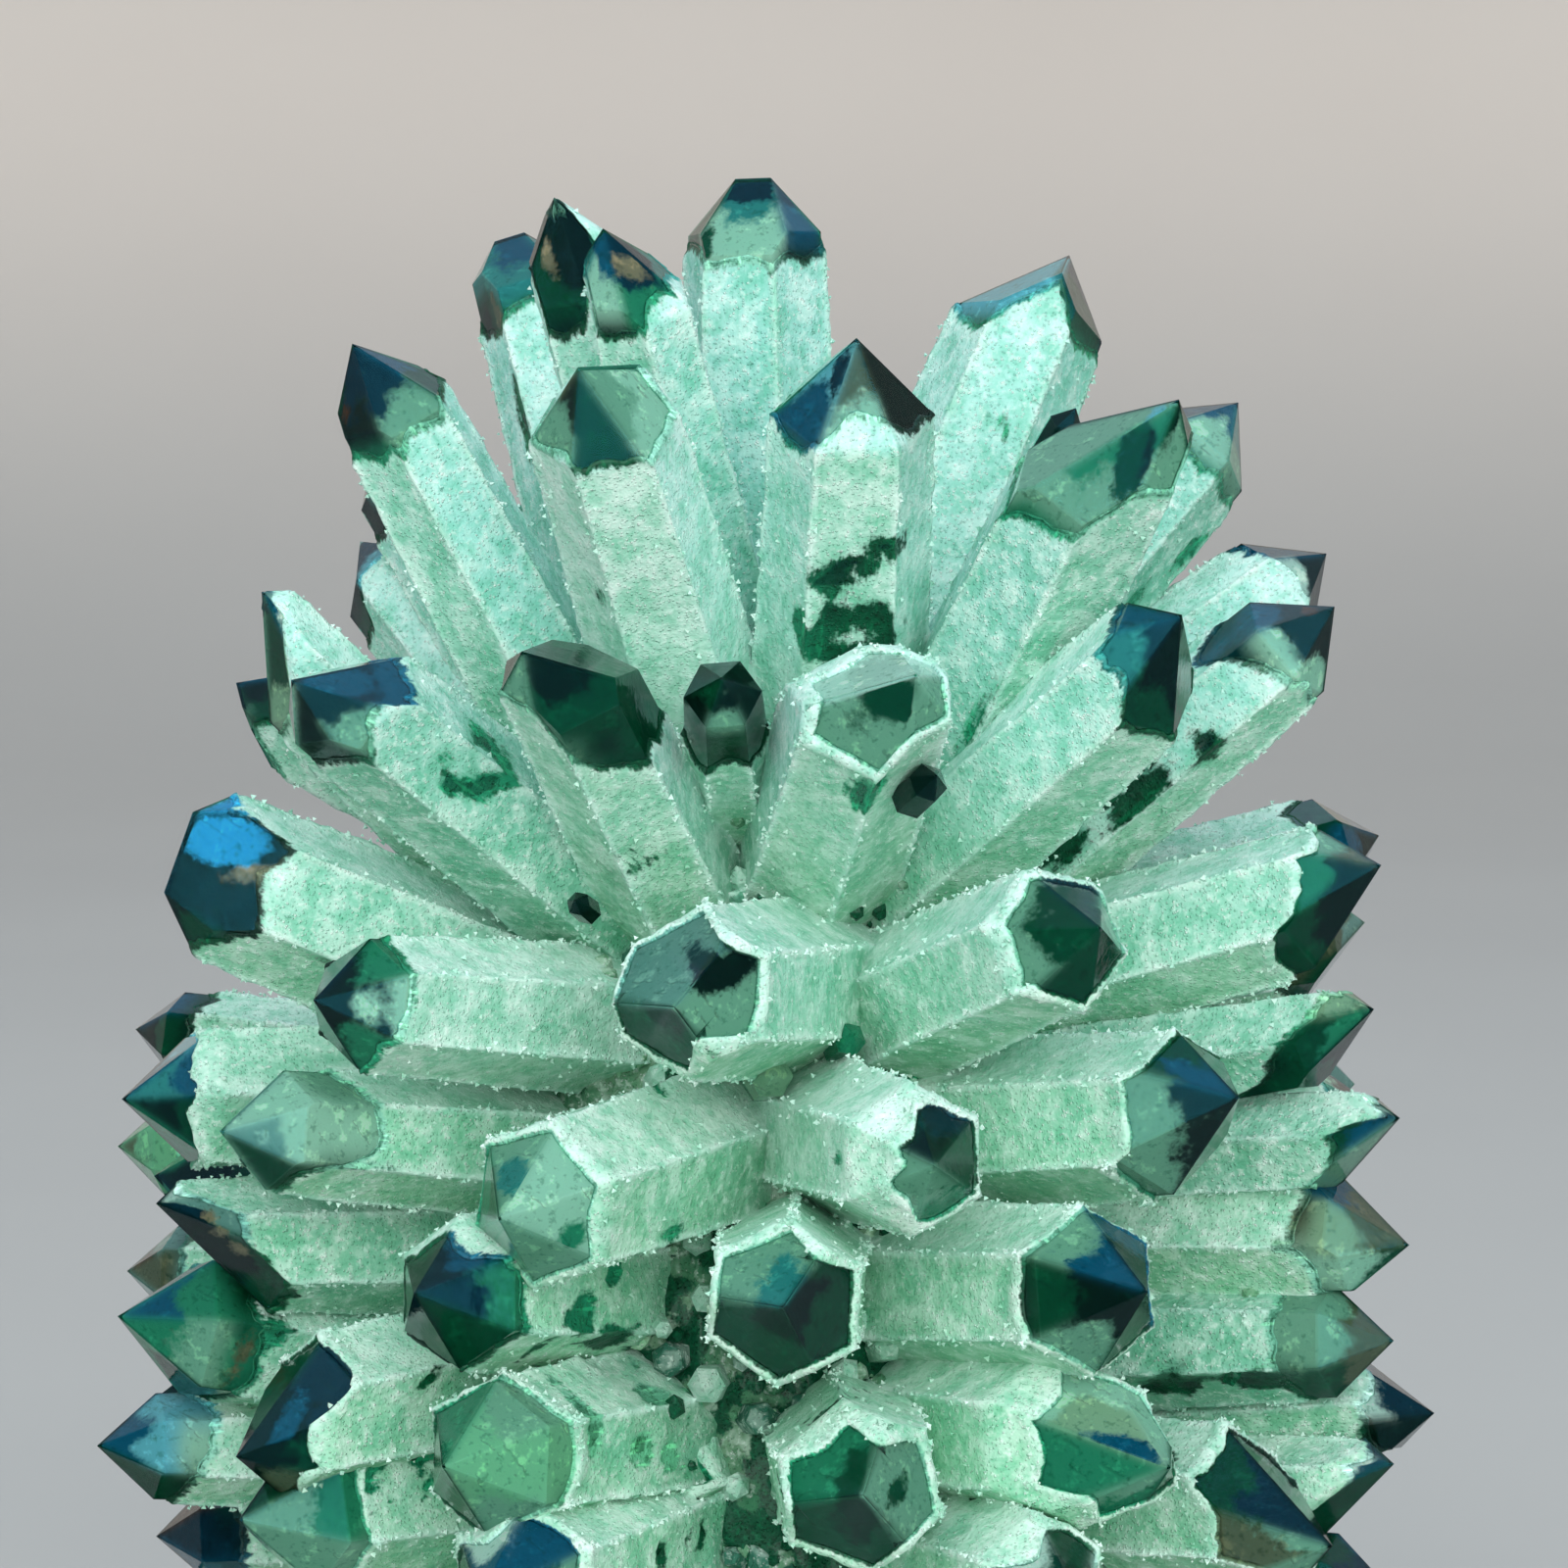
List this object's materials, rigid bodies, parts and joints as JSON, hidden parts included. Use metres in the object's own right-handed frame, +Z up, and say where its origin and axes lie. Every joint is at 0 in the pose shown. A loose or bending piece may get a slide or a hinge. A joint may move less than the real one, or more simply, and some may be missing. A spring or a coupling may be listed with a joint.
{
  "type": "green phantom quartz cluster",
  "caption": "Upright cluster of six-sided quartz crystals fanning out from a common heart, milky green with dark glassy green tips, cut flat at the foot.",
  "frame": {"origin": "middle of the flat sawn face that the cluster stands on", "axes": "+Z up along the cluster's long axis, -Y towards the side shown in the picture, +X to that side's right"},
  "size_m": [0.1769, 0.1797, 0.2311],
  "materials": {
    "phantom_quartz": "frosted prisms, glassy dark green tips"
  },
  "bodies": {
    "root": {"crystal_cluster": "phantom_quartz"}
  },
  "joints": []
}
